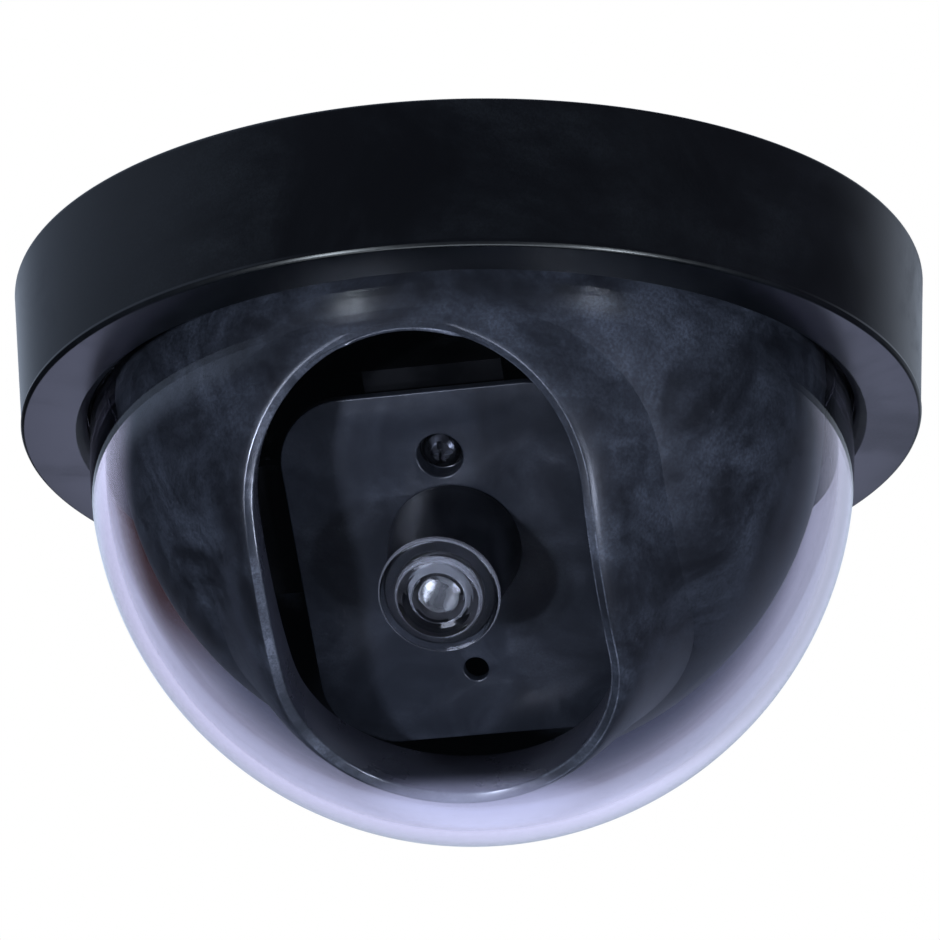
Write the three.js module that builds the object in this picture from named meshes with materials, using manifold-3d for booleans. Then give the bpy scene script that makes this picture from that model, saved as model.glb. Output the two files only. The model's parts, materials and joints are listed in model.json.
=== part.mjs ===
// Ceiling dome camera of the deterrent kind: a round base plate, a twist-on cover ring with a clear dome,
// and a turntable that carries a hooded liner, a battery holder and a tilting lens head.
// Millimetres, +Z up. The origin is the centre of the base plate's ceiling face, and the object hangs below it.
// The liner's window faces -Y.
import * as THREE from 'three';
import { mergeVertices } from 'three/addons/utils/BufferGeometryUtils.js';
import Module from 'manifold-3d';

const wasm = await Module();
wasm.setup();

// Driving dimensions
const FIT = 0.3;                       // gap left where two pieces rest on each other
const RING = { top: 60, bottom: 58.9, inner: 57.3, height: 20, lip: 51.8, mouth: 50.35, ledge: -18.2 };
const DOME = { radius: 49.96, wall: 2, centreZ: -24.45, flange: 53.2, flangeThick: 1.8 };
const LINER = { radius: 46.6, wall: 1.2, centreZ: -17.3, tabInner: 40.5 };
const WINDOW = { halfWidth: 20.5, halfLength: 31.5, hoodWall: 1.6, hoodRadius: 46 };
const BASE = { radius: 55.4, thick: 2.4, skirtWall: 1.2, depth: 7.2, slotAt: 50.6 };
const TABLE = { radius: 46, top: -6, bottom: -8, bore: 4.9 };
const LENS_TILT = 45;                  // degrees below horizontal that the lens looks at rest
const PLATE = { halfWidth: 20.6, low: -29.6, high: 18.5, corner: 9, back: 18.5, front: 20 };
const LENS_Y = -2.86;                  // lens axis, measured up the face plate from the dome's centre line
const SCREW_Y = 9.7;                   // recessed screw, likewise
const HOLE_Y = -20.2;                  // small open hole, likewise
const CELL = { radius: 7.25, length: 50.5, nub: 1 };
const HOLDER = { halfLength: 28, front: 3.5, rear: 35.4, wall: 1.1, bottom: -20, chamfer: 1.5 };
const ARM = { inner: 31.8, outer: 33.8 };
const EAR = { inner: 28.9, outer: 30.4, bossInner: 27.2 };
const PIVOT_RADIUS = 1.2;
const ROUND = 32;                      // segments of a large circle
const SMALL_ROUND = 12;                // segments of a small circle

const degrees = (angle) => THREE.MathUtils.degToRad(angle);

// Solids
function toSolid(geometry) {
  const bare = geometry.clone();
  bare.deleteAttribute('normal');
  bare.deleteAttribute('uv');
  const merged = mergeVertices(bare, 1e-4);
  return new wasm.Manifold(new wasm.Mesh({
    numProp: 3,
    vertProperties: new Float32Array(merged.attributes.position.array),
    triVerts: new Uint32Array(merged.index.array),
  }));
}

function toGeometry(solid) {
  const mesh = solid.getMesh();
  const geometry = new THREE.BufferGeometry();
  geometry.setAttribute('position', new THREE.BufferAttribute(new Float32Array(mesh.vertProperties), 3));
  geometry.setIndex(new THREE.BufferAttribute(new Uint32Array(mesh.triVerts), 1));
  geometry.computeVertexNormals();
  return geometry;
}

const join = (solids) => solids.reduce((sum, solid) => sum.add(solid));
const cut = (solid, tools) => tools.reduce((rest, tool) => rest.subtract(tool), solid);

// A profile of [radius, z] points turned about Z
function turned(profile, segments = ROUND) {
  const points = profile.map(([radius, z]) => new THREE.Vector2(radius, z));
  return new THREE.LatheGeometry(points, segments).rotateX(Math.PI / 2);
}

// A ring section that doesn't touch the axis is closed on itself
function turnedRing(profile, segments = ROUND) {
  return turned([...profile, profile[0]], segments);
}

function arc(radius, centreZ, from, to, steps) {
  const points = [];
  for (let i = 0; i <= steps; i += 1) {
    const angle = degrees(from + ((to - from) * i) / steps);
    points.push([radius * Math.cos(angle), centreZ + radius * Math.sin(angle)]);
  }
  points.forEach((point) => {
    if (Math.abs(point[0]) < 1e-6) point[0] = 0;
  });
  return points;
}

function block(low, high) {
  const size = high.map((value, i) => value - low[i]);
  const middle = high.map((value, i) => (value + low[i]) / 2);
  return new THREE.BoxGeometry(...size).translate(...middle);
}

function rodZ(radius, low, high, x = 0, y = 0, segments = SMALL_ROUND) {
  const rod = new THREE.CylinderGeometry(radius, radius, high - low, segments).rotateX(Math.PI / 2);
  return rod.translate(x, y, (low + high) / 2);
}

function rodX(radius, low, high, y, z, segments = SMALL_ROUND) {
  const rod = new THREE.CylinderGeometry(radius, radius, high - low, segments).rotateZ(Math.PI / 2);
  return rod.translate((low + high) / 2, y, z);
}

function washerZ(inner, outer, low, high, segments = ROUND) {
  return turnedRing([[inner, low], [outer, low], [outer, high], [inner, high]], segments);
}

function extruded(shape, low, high, curveSegments = 8) {
  const options = { depth: high - low, bevelEnabled: false, curveSegments };
  return new THREE.ExtrudeGeometry(shape, options).translate(0, 0, low);
}

// A rectangle with round corners, between two heights of y
function roundedShape(halfWidth, low, high, corner) {
  const shape = new THREE.Shape();
  shape.moveTo(-halfWidth + corner, low);
  shape.lineTo(halfWidth - corner, low);
  shape.absarc(halfWidth - corner, low + corner, corner, -Math.PI / 2, 0);
  shape.lineTo(halfWidth, high - corner);
  shape.absarc(halfWidth - corner, high - corner, corner, 0, Math.PI / 2);
  shape.lineTo(-halfWidth + corner, high);
  shape.absarc(-halfWidth + corner, high - corner, corner, Math.PI / 2, Math.PI);
  shape.lineTo(-halfWidth, low + corner);
  shape.absarc(-halfWidth + corner, low + corner, corner, Math.PI, 1.5 * Math.PI);
  return shape;
}

// A block bent round Z: radii, heights and the angles it covers
function curvedBlock(inner, outer, low, high, from, to, steps = 4) {
  const shape = new THREE.Shape();
  for (let i = 0; i <= steps; i += 1) {
    const angle = degrees(from + ((to - from) * i) / steps);
    const [x, y] = [outer * Math.cos(angle), outer * Math.sin(angle)];
    if (i === 0) shape.moveTo(x, y);
    else shape.lineTo(x, y);
  }
  for (let i = steps; i >= 0; i -= 1) {
    const angle = degrees(from + ((to - from) * i) / steps);
    shape.lineTo(inner * Math.cos(angle), inner * Math.sin(angle));
  }
  return extruded(shape, low, high);
}

// A pan-head screw along Z: its head is at `head` and its shaft runs to `tip`, with a cross recess
function screwZ(headRadius, headHeight, shaftRadius, head, tip, up = 1) {
  const outerEnd = head + up * headHeight;
  const profile = [
    [0, tip], [shaftRadius, tip], [shaftRadius, head], [headRadius, head],
    [headRadius, head + up * headHeight * 0.6], [headRadius * 0.75, outerEnd], [0, outerEnd],
  ];
  if (up < 0) profile.reverse();
  const slotWidth = headRadius * 0.16;
  const slotReach = headRadius * 0.55;
  const slotFloor = outerEnd - up * headHeight * 0.55;
  const low = Math.min(slotFloor, outerEnd + up);
  const high = Math.max(slotFloor, outerEnd + up);
  const slots = [[slotReach, slotWidth], [slotWidth, slotReach]].map(
    ([x, y]) => toSolid(block([-x, -y, low], [x, y, high])),
  );
  return cut(toSolid(turned(profile, SMALL_ROUND)), slots);
}

// Materials
function plastic(colour, roughness) {
  return new THREE.MeshStandardMaterial({ color: colour, roughness, metalness: 0 });
}

function metal(colour, roughness) {
  return new THREE.MeshStandardMaterial({ color: colour, roughness, metalness: 1 });
}

function clear(colour, opacity) {
  const options = { color: colour, roughness: 0.05, metalness: 0, transparent: true, opacity };
  return new THREE.MeshStandardMaterial(options);
}

const glossBlack = plastic(0x14171c, 0.28);
const satinBlack = plastic(0x1b1e24, 0.45);
const plainBlack = plastic(0x191a1d, 0.6);
const nylonWhite = plastic(0xd8d6cc, 0.5);
const softBlack = plastic(0x121212, 0.9);
const boardGreen = plastic(0x1f5a34, 0.5);
const cellSleeve = plastic(0x2b4a66, 0.35);
const screwSteel = metal(0xb9bcc0, 0.3);
const springSteel = metal(0xc8cacc, 0.25);
const resistorBeige = plastic(0xc9b48a, 0.5);
const wireRed = plastic(0xb02018, 0.45);
const wireBlack = plastic(0x17171a, 0.45);
const clearDomeMaterial = clear(0xe4e4f6, 0.3);
const clearLensMaterial = clear(0xf0f2f5, 0.4);
const ledMaterial = clear(0xf2d8d6, 0.7);

const camera = new THREE.Group();

function place(group, name, shape, material) {
  const geometry = shape.isBufferGeometry ? shape : toGeometry(shape);
  const mesh = new THREE.Mesh(geometry, material);
  mesh.name = name;
  group.add(mesh);
  return mesh;
}

// Base: a plate with a skirt, a centre boss for the turntable, screw slots and three bayonet lugs
const HOOK_ANGLES = [30, 150, 270];
const LUG = { outer: 56.7, top: -5.6, length: 14, stop: 3 };
const BOSS = { radius: 4.5, bottom: -8.3, pilot: 1.5, pilotTop: -3.4 };
const PAN_WASHER = { radius: 7, thick: 0.8 };
const PAN_HEAD = { radius: 3.6, height: 2 };

function slotCutter(x) {
  const shape = roundedShape(2.1, -4.5, 4.5, 2.1);
  return toSolid(extruded(shape, -BASE.thick - 1, 1).translate(x, 0, 0));
}

function buildBasePlate() {
  const skirtInner = BASE.radius - BASE.skirtWall;
  const plate = toSolid(turned([
    [0, BOSS.bottom], [BOSS.radius, BOSS.bottom], [BOSS.radius, -BASE.thick], [skirtInner, -BASE.thick],
    [skirtInner, -BASE.depth], [BASE.radius, -BASE.depth], [BASE.radius, -0.5], [BASE.radius - 0.5, 0], [0, 0],
  ]));
  const lugInner = BASE.radius - 0.6;
  const lugs = HOOK_ANGLES.flatMap((angle) => [
    toSolid(curvedBlock(lugInner, LUG.outer, -BASE.depth, LUG.top, angle - 7, angle - 7 + LUG.length)),
    toSolid(curvedBlock(lugInner, LUG.outer, -BASE.depth, -3.6, angle - 7 - LUG.stop, angle - 6.9)),
  ]);
  const pilot = toSolid(rodZ(BOSS.pilot, BOSS.bottom - 1, BOSS.pilotTop));
  const slots = [-BASE.slotAt, BASE.slotAt].map(slotCutter);
  return cut(join([plate, ...lugs]), [pilot, ...slots]);
}

function buildBase() {
  const washerTop = BOSS.bottom - FIT;
  place(camera, 'base_plate', buildBasePlate(), plainBlack);
  const washerLow = washerTop - PAN_WASHER.thick;
  place(camera, 'pan_washer', washerZ(1.7, PAN_WASHER.radius, washerLow, washerTop, 24), nylonWhite);
  const screw = screwZ(PAN_HEAD.radius, PAN_HEAD.height, 1.2, washerLow - FIT, BOSS.pilotTop - FIT, -1);
  place(camera, 'pan_screw', screw, screwSteel);
}

// Cover: the ring, the clear dome clamped on its ledge, and three hooks above the base's lugs
const POST = { at: 55.4, radius: 1.8, top: -15, angles: [45, 135, 225, 315] };
const CLAMP = { inner: 50.6, outer: 57, thick: 1.8 };
const SEAL = { inner: 50.7, thick: 0.8 };

function around(radius, angle) {
  return [radius * Math.cos(degrees(angle)), radius * Math.sin(degrees(angle))];
}

function buildOuterRing() {
  const shell = toSolid(turnedRing([
    [RING.inner, -FIT], [RING.top - 0.7, -FIT], [RING.top, -1], [RING.bottom, -RING.height + 1.1],
    [RING.bottom - 0.35, -RING.height + 0.3], [RING.bottom - 1.1, -RING.height],
    [RING.lip, -RING.height], [RING.mouth + 0.6, -RING.height + 0.7],
    [RING.mouth, RING.ledge - 0.6], [RING.mouth, RING.ledge], [RING.inner, RING.ledge],
  ].reverse()));
  const hooks = HOOK_ANGLES.map(
    (angle) => toSolid(curvedBlock(55.8, RING.inner + 0.8, -5.2, -3.6, angle - 6.4, angle + 5.6)),
  );
  const posts = POST.angles.map(
    (angle) => toSolid(rodZ(POST.radius, RING.ledge - 0.6, POST.top, ...around(POST.at, angle))),
  );
  const pilots = POST.angles.map(
    (angle) => toSolid(rodZ(1.2, RING.ledge + 0.2, POST.top + 1, ...around(POST.at, angle))),
  );
  return cut(join([shell, ...hooks, ...posts]), pilots);
}

function buildClearDome() {
  const inner = DOME.radius - DOME.wall;
  const flangeLow = RING.ledge + SEAL.thick + 2 * FIT;
  const flangeHigh = flangeLow + DOME.flangeThick;
  return turned([
    ...arc(DOME.radius, DOME.centreZ, -90, 0, 10),
    [DOME.radius, flangeLow], [DOME.flange, flangeLow], [DOME.flange, flangeHigh], [inner, flangeHigh],
    ...arc(inner, DOME.centreZ, 0, -90, 10),
  ]);
}

function buildCover() {
  place(camera, 'outer_ring', buildOuterRing(), glossBlack);
  place(camera, 'clear_dome', buildClearDome(), clearDomeMaterial);
  const sealLow = RING.ledge + FIT;
  place(camera, 'dome_seal', washerZ(SEAL.inner, DOME.flange, sealLow, sealLow + SEAL.thick), softBlack);
  const clampLow = POST.top + FIT;
  const clamp = toSolid(washerZ(CLAMP.inner, CLAMP.outer, clampLow, clampLow + CLAMP.thick));
  const holes = POST.angles.map(
    (angle) => toSolid(rodZ(1.2, clampLow - 1, clampLow + CLAMP.thick + 1, ...around(POST.at, angle))),
  );
  place(camera, 'dome_retainer', cut(clamp, holes), plainBlack);
  const head = clampLow + CLAMP.thick + FIT;
  POST.angles.forEach((angle, i) => {
    const screw = place(camera, `retainer_screw_${i + 1}`, screwZ(1.6, 1.4, 0.9, head, -17.5), screwSteel);
    screw.position.set(...around(POST.at - 1e-3, angle), 0);
  });
}

// Turntable: a disc on the base's boss, with the liner, two arms and the battery holder hung from it
const LINER_SCREWS = { at: 43, angles: [270, 20, 160] };
const HEAD_ABOVE_TABLE = TABLE.top + FIT;
const BELOW_TABLE = TABLE.bottom - FIT;
const ARM_SCREW_X = 35.8;

function buildTurntable() {
  const disc = toSolid(washerZ(TABLE.bore, TABLE.radius, TABLE.bottom, TABLE.top));
  const holes = LINER_SCREWS.angles.map(
    (angle) => toSolid(rodZ(1.4, TABLE.bottom - 1, TABLE.top + 1, ...around(LINER_SCREWS.at, angle))),
  );
  const armHoles = [-ARM_SCREW_X, ARM_SCREW_X].map(
    (x) => toSolid(rodZ(1.4, TABLE.bottom - 1, TABLE.top + 1, x)),
  );
  return cut(disc, [...holes, ...armHoles]);
}

// The window is a long round-ended opening. Its local Z runs out through the window from the dome's centre.
function towardsWindow(solid) {
  const turn = new THREE.Matrix4().makeRotationX(degrees(90 + LENS_TILT));
  turn.setPosition(0, 0, DOME.centreZ);
  return solid.transform(turn.elements);
}

function windowPrism(grow) {
  const half = WINDOW.halfWidth + grow;
  const reach = WINDOW.halfLength + grow;
  return towardsWindow(toSolid(extruded(roundedShape(half, -reach, reach, half), 12, 60, 7)));
}

const SWITCH = { halfWidth: 5, front: 38.5, back: 43.5, low: -16.7, high: -12.2, travel: 2.3 };
const KNOB = { halfWidth: 1.2, low: -15.5, high: -13.5, reach: 47.4 };

function buildLiner() {
  const inner = LINER.radius - LINER.wall;
  const top = BELOW_TABLE;
  const shell = toSolid(turned([
    ...arc(LINER.radius, LINER.centreZ, -90, 0, 9),
    [LINER.radius, top], [inner, top],
    ...arc(inner, LINER.centreZ, 0, -90, 9),
  ]));
  const tabs = LINER_SCREWS.angles.map(
    (angle) => toSolid(curvedBlock(LINER.tabInner, inner + 0.6, top - 1.6, top, angle - 9, angle + 9)),
  );
  const bosses = LINER_SCREWS.angles.map(
    (angle) => toSolid(rodZ(2.5, -14, top - 0.2, ...around(LINER_SCREWS.at, angle))),
  );
  const hoodLimit = toSolid(turned(arc(WINDOW.hoodRadius, DOME.centreZ, -90, 90, 14)));
  const hollow = toSolid(turned([...arc(inner, LINER.centreZ, -90, 0, 9), [inner, 0], [0, 0]]));
  const hood = windowPrism(WINDOW.hoodWall).intersect(hoodLimit).subtract(hollow);
  const pilots = LINER_SCREWS.angles.map(
    (angle) => toSolid(rodZ(1.4, -15, top + 1, ...around(LINER_SCREWS.at, angle))),
  );
  const knobSlot = toSolid(block(
    [-KNOB.halfWidth - 0.7, 40, KNOB.low - 0.7],
    [KNOB.halfWidth + SWITCH.travel + 0.7, 50, KNOB.high + 0.7],
  ));
  return cut(join([shell, ...tabs, ...bosses, hood]), [windowPrism(0), ...pilots, knobSlot]);
}

// An arm hangs from the table and carries one end of the tilt axis. side is -1 or 1.
function buildArm(side) {
  const foot = toSolid(block([ARM.inner, -5, BELOW_TABLE - 2], [38.6, 5, BELOW_TABLE]));
  const boss = toSolid(rodZ(2.4, BELOW_TABLE - 4.9, BELOW_TABLE - 1, ARM_SCREW_X));
  const web = toSolid(block([ARM.inner, -5, LINER.centreZ], [ARM.outer, 5, BELOW_TABLE - 1]));
  const end = toSolid(rodX(5, ARM.inner, ARM.outer, 0, LINER.centreZ, 24));
  const pivotHole = toSolid(rodX(PIVOT_RADIUS + FIT, ARM.inner - 1, ARM.outer + 1, 0, LINER.centreZ));
  const pilot = toSolid(rodZ(1.3, BELOW_TABLE - 6, BELOW_TABLE + 1, ARM_SCREW_X));
  const arm = cut(join([foot, boss, web, end]), [pivotHole, pilot]);
  return side > 0 ? arm : arm.rotate([0, 0, 180]);
}

function buildTiltPin(side) {
  const head = ARM.outer + FIT;
  const shaft = toSolid(rodX(PIVOT_RADIUS, EAR.bossInner + FIT, head + 0.5, 0, LINER.centreZ));
  const cap = toSolid(rodX(3.2, head, head + 1.7, 0, LINER.centreZ, 20));
  const slot = toSolid(block([head + 0.9, -4, LINER.centreZ - 0.5], [head + 3, 4, LINER.centreZ + 0.5]));
  const pin = cut(join([shaft, cap]), [slot]);
  return side > 0 ? pin : pin.rotate([0, 0, 180]);
}

function buildTiltWasher(side) {
  const low = EAR.outer + FIT;
  const high = ARM.inner - FIT;
  const disc = toSolid(rodX(3.4, low, high, 0, LINER.centreZ, 20));
  const washer = disc.subtract(toSolid(rodX(PIVOT_RADIUS + FIT, low - 1, high + 1, 0, LINER.centreZ)));
  return side > 0 ? washer : washer.rotate([0, 0, 180]);
}

function buildTable() {
  place(camera, 'turntable', buildTurntable(), plainBlack);
  place(camera, 'liner', buildLiner(), satinBlack);
  LINER_SCREWS.angles.forEach((angle, i) => {
    const screw = place(camera, `liner_screw_${i + 1}`, screwZ(2.3, 1.4, 1.1, HEAD_ABOVE_TABLE, -12.5), screwSteel);
    screw.position.set(...around(LINER_SCREWS.at, angle), 0);
  });
  [['left', -1], ['right', 1]].forEach(([name, side]) => {
    place(camera, `${name}_arm`, buildArm(side), plainBlack);
    const screw = place(camera, `${name}_arm_screw`, screwZ(2.3, 1.4, 1, HEAD_ABOVE_TABLE, -12), screwSteel);
    screw.position.set(side * ARM_SCREW_X, 0, 0);
    place(camera, `${name}_tilt_pin`, buildTiltPin(side), screwSteel);
    place(camera, `${name}_tilt_washer`, buildTiltWasher(side), nylonWhite);
  });
}

// Battery holder: a tray open at the bottom for two AA cells side by side, with a shelf for the switch
const CELL_Z = BELOW_TABLE - 1.2 - FIT - CELL.radius;
const CELL_GAP = 0.15;
const CELL_Y = [
  HOLDER.front + HOLDER.wall + CELL_GAP + CELL.radius,
  HOLDER.rear - HOLDER.wall - CELL_GAP - CELL.radius,
];
const CAVITY_HALF = HOLDER.halfLength - 1.2;
const CONTACT = { thick: 0.3, low: -19.8, high: -11 };
const CONTACT_FACE = CAVITY_HALF - FIT - CONTACT.thick;

function buildHolder() {
  const outline = new THREE.Shape();
  outline.moveTo(-HOLDER.halfLength, HOLDER.front);
  outline.lineTo(HOLDER.halfLength, HOLDER.front);
  outline.lineTo(HOLDER.halfLength, HOLDER.rear - HOLDER.chamfer);
  outline.lineTo(HOLDER.halfLength - HOLDER.chamfer, HOLDER.rear);
  outline.lineTo(-HOLDER.halfLength + HOLDER.chamfer, HOLDER.rear);
  outline.lineTo(-HOLDER.halfLength, HOLDER.rear - HOLDER.chamfer);
  const body = toSolid(extruded(outline, HOLDER.bottom, BELOW_TABLE));
  const shelf = toSolid(block([-6.5, HOLDER.rear - 0.5, -11.9], [6.5, 44, -10.4]));
  const cavity = toSolid(block(
    [-CAVITY_HALF, HOLDER.front + HOLDER.wall, HOLDER.bottom - 1],
    [CAVITY_HALF, HOLDER.rear - HOLDER.wall, BELOW_TABLE - 1.2],
  ));
  const washerNotch = toSolid(rodZ(PAN_WASHER.radius + 0.5, -9.9, -7, 0, 0, 24));
  const headNotch = toSolid(rodZ(PAN_HEAD.radius + 0.5, -12.3, -7, 0, 0, 24));
  return cut(body, [cavity, washerNotch, headNotch]).add(shelf);
}

// A cell points its nub along +X or -X
function buildCell(y, side) {
  const start = -side * (CONTACT_FACE - 2 * FIT - 1.1);
  const nubEnd = side * (CONTACT_FACE - FIT);
  const bodyEnd = nubEnd - side * CELL.nub;
  const body = toSolid(rodX(CELL.radius, Math.min(start, bodyEnd), Math.max(start, bodyEnd), y, CELL_Z, 24));
  const nub = toSolid(rodX(2.75, Math.min(0, nubEnd), Math.max(0, nubEnd), y, CELL_Z));
  return join([body, nub]);
}

// A flat cone spring wound outwards between the contact and the cell's flat end
function buildCellSpring(y, side) {
  const turns = 2;
  const steps = 36;
  const points = [];
  for (let i = 0; i <= steps; i += 1) {
    const share = i / steps;
    const angle = share * turns * 2 * Math.PI;
    const radius = 5 - 3 * share;
    const x = side * (CONTACT_FACE - FIT - 0.25 - 0.6 * share);
    points.push(new THREE.Vector3(x, y + radius * Math.cos(angle), CELL_Z + radius * Math.sin(angle)));
  }
  const section = new THREE.Shape();
  section.absarc(0, 0, 0.22, 0, 2 * Math.PI);
  const path = new THREE.CatmullRomCurve3(points);
  return new THREE.ExtrudeGeometry(section, { extrudePath: path, steps: 30, curveSegments: 3 });
}

function buildContact(side, low, high) {
  const x = [side * CONTACT_FACE, side * (CONTACT_FACE + CONTACT.thick)].sort((a, b) => a - b);
  return block([x[0], low, CONTACT.low], [x[1], high, CONTACT.high]);
}

function buildSwitchBody() {
  const body = toSolid(block(
    [-SWITCH.halfWidth, SWITCH.front, SWITCH.low],
    [SWITCH.halfWidth, SWITCH.back, SWITCH.high],
  ));
  const slot = toSolid(block(
    [-KNOB.halfWidth - FIT, SWITCH.back - 2, KNOB.low - FIT],
    [KNOB.halfWidth + SWITCH.travel + FIT, SWITCH.back + 1, KNOB.high + FIT],
  ));
  return body.subtract(slot);
}

function buildPower() {
  place(camera, 'battery_holder', buildHolder(), plainBlack);
  place(camera, 'battery_1', buildCell(CELL_Y[0], 1), cellSleeve);
  place(camera, 'battery_2', buildCell(CELL_Y[1], -1), cellSleeve);
  place(camera, 'battery_spring_1', buildCellSpring(CELL_Y[0], -1), springSteel);
  place(camera, 'battery_spring_2', buildCellSpring(CELL_Y[1], 1), springSteel);
  place(camera, 'bridge_contact', buildContact(-1, CELL_Y[0] - 5.5, CELL_Y[1] + 5.5), springSteel);
  place(camera, 'positive_contact', buildContact(1, CELL_Y[0] - 5.5, CELL_Y[0] + 5.5), springSteel);
  place(camera, 'negative_contact', buildContact(1, CELL_Y[1] - 5.5, CELL_Y[1] + 5.5), springSteel);
  place(camera, 'switch_body', buildSwitchBody(), plainBlack);
  const knob = block(
    [-KNOB.halfWidth, SWITCH.back - 2 + FIT, KNOB.low],
    [KNOB.halfWidth, KNOB.reach, KNOB.high],
  );
  place(camera, 'switch_slider', knob, nylonWhite);
}

// Head: everything that tilts. Its local origin is the dome's centre, local Z looks out along the lens,
// and local Y runs up the face plate.
const head = new THREE.Group();
head.position.z = DOME.centreZ;
head.rotation.x = degrees(90 + LENS_TILT);
camera.add(head);
const WEB = { back: 14, front: 16 };
const PIVOT_RISE = LINER.centreZ - DOME.centreZ;
const PIVOT_Y = PIVOT_RISE * Math.sin(degrees(LENS_TILT));
const PIVOT_Z = -PIVOT_RISE * Math.cos(degrees(LENS_TILT));

function buildEar(side) {
  const shape = new THREE.Shape();
  shape.moveTo(-9, WEB.front);
  shape.lineTo(9, WEB.front);
  shape.lineTo(9, WEB.back);
  shape.lineTo(PIVOT_Y + 4.3, PIVOT_Z + 1.2);
  shape.absarc(PIVOT_Y, PIVOT_Z, 4.5, 0.3, -Math.PI - 0.3, true);
  shape.lineTo(-9, WEB.back);
  // drawn in (y, z), then stood up so that its thickness runs along X
  const plate = new THREE.ExtrudeGeometry(shape, {
    depth: EAR.outer - EAR.inner, bevelEnabled: false, curveSegments: 10,
  });
  plate.applyMatrix4(new THREE.Matrix4().set(0, 0, 1, EAR.inner, 1, 0, 0, 0, 0, 1, 0, 0, 0, 0, 0, 1));
  const boss = toSolid(rodX(3, EAR.bossInner, EAR.inner + 0.5, PIVOT_Y, PIVOT_Z));
  const hole = toSolid(rodX(PIVOT_RADIUS + FIT, EAR.bossInner - 1, EAR.outer + 1, PIVOT_Y, PIVOT_Z));
  const ear = cut(join([toSolid(plate), boss]), [hole]);
  return side > 0 ? ear : ear.mirror([1, 0, 0]);
}

const BOARD_SCREW_X = 7.6;

function buildBracket() {
  const web = toSolid(block([-EAR.outer, -9, WEB.back], [EAR.outer, 9, WEB.front]));
  const tab = toSolid(block([-9, 8, WEB.back], [9, 20.5, WEB.front]));
  const lip = toSolid(block([-9, 19, 7], [9, 20.5, WEB.back + 1]));
  const boss = toSolid(rodZ(2.8, 11.5, WEB.back + 0.5, 0, SCREW_Y));
  const opening = toSolid(block([-5.7, LENS_Y - 5.5, WEB.back - 1], [5.7, LENS_Y + 5.5, WEB.front + 1]));
  const pilot = toSolid(rodZ(1.4, 10, WEB.front + 1, 0, SCREW_Y));
  const boardPilots = [-BOARD_SCREW_X, BOARD_SCREW_X].map(
    (x) => toSolid(rodZ(1.1, WEB.back - 1, WEB.front + 1, x, LENS_Y, 12)),
  );
  return cut(join([web, tab, lip, boss, buildEar(1), buildEar(-1)]), [opening, pilot, ...boardPilots]);
}

function buildFacePlate() {
  const outline = roundedShape(PLATE.halfWidth, PLATE.low, PLATE.high, PLATE.corner);
  const plate = toSolid(extruded(outline, PLATE.back, PLATE.front));
  const cup = toSolid(rodZ(3.7, WEB.front + FIT, PLATE.back + 0.5, 0, SCREW_Y, 20));
  const recess = toSolid(rodZ(2.95, WEB.front + 1.1, PLATE.front + 1, 0, SCREW_Y, 20));
  const screwHole = toSolid(rodZ(1.4, WEB.front - 1, PLATE.front, 0, SCREW_Y));
  const spigotHole = toSolid(rodZ(5.2, PLATE.back - 1, PLATE.front + 1, 0, LENS_Y, 20));
  const smallHole = toSolid(rodZ(1.6, PLATE.back - 1, PLATE.front + 1, 0, HOLE_Y));
  return cut(join([plate, cup]), [recess, screwHole, spigotHole, smallHole]);
}

const BARREL = { foot: PLATE.front + FIT, footRadius: 8.6, top: 34, topRadius: 7, bore: 5.6, shelf: 28.3 };
const SPIGOT = { radius: 4.9, bore: 4, back: 16.9 };
const CAP = { radius: 7.7, thick: 1.2, boss: 5.25, bore: 3.1, boreTop: 36.2, top: 37.3 };
const LED = { radius: 2.5, flange: 2.9, flangeThick: 1, back: 27.3, tip: 35.7, legAt: 1.27, legHalf: 0.3 };
const GROMMET = { inner: 2.8, outer: 5.3, thick: 2.8 };
const BOARD = { halfWidth: 10, halfHeight: 6, back: 11.6, front: 13.2, screwHole: 1.1 };

function buildBarrel() {
  return turnedRing([
    [SPIGOT.bore, SPIGOT.back], [SPIGOT.radius, SPIGOT.back], [SPIGOT.radius, BARREL.foot],
    [BARREL.footRadius, BARREL.foot], [BARREL.footRadius - 0.1, BARREL.foot + 0.6],
    [BARREL.topRadius, BARREL.top], [BARREL.bore, BARREL.top], [BARREL.bore, BARREL.shelf],
    [SPIGOT.bore, BARREL.shelf],
  ], 24);
}

function buildBarrelNut() {
  const nut = toSolid(rodZ(8, 16.5, PLATE.back - FIT, 0, 0, 6));
  return nut.subtract(toSolid(rodZ(5.2, 16, PLATE.back, 0, 0, 20)));
}

// A clear cap: a thin flange, a round boss bored from behind for the LED, and two low steps on its face
function buildLensCap() {
  const back = BARREL.top + FIT;
  const face = back + CAP.thick;
  return turned([
    [0, CAP.boreTop], [CAP.bore, CAP.boreTop], [CAP.bore, back], [CAP.radius, back], [CAP.radius, face],
    [CAP.boss, face], [CAP.boss - 0.15, CAP.top - 1], [CAP.boss - 0.55, CAP.top - 0.6],
    [3.8, CAP.top - 0.6], [3.7, CAP.top - 0.35], [2.8, CAP.top - 0.35], [2.5, CAP.top - 0.1], [0, CAP.top],
  ], 24);
}

function buildLed() {
  const body = toSolid(turned([
    [0, LED.back], [LED.flange, LED.back], [LED.flange, LED.back + LED.flangeThick],
    [LED.radius, LED.back + LED.flangeThick], [LED.radius, LED.tip - 2.5], [LED.radius - 0.3, LED.tip - 1.1],
    [1.4, LED.tip - 0.3], [0, LED.tip],
  ], SMALL_ROUND));
  const legs = [-LED.legAt, LED.legAt].map((x) => toSolid(block(
    [x - LED.legHalf, -LED.legHalf, BOARD.front + FIT], [x + LED.legHalf, LED.legHalf, LED.back + 0.6],
  )));
  return join([body, ...legs]);
}

function buildGrommet() {
  const back = BARREL.shelf + FIT;
  return washerZ(GROMMET.inner, GROMMET.outer, back, back + GROMMET.thick, 20);
}

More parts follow.
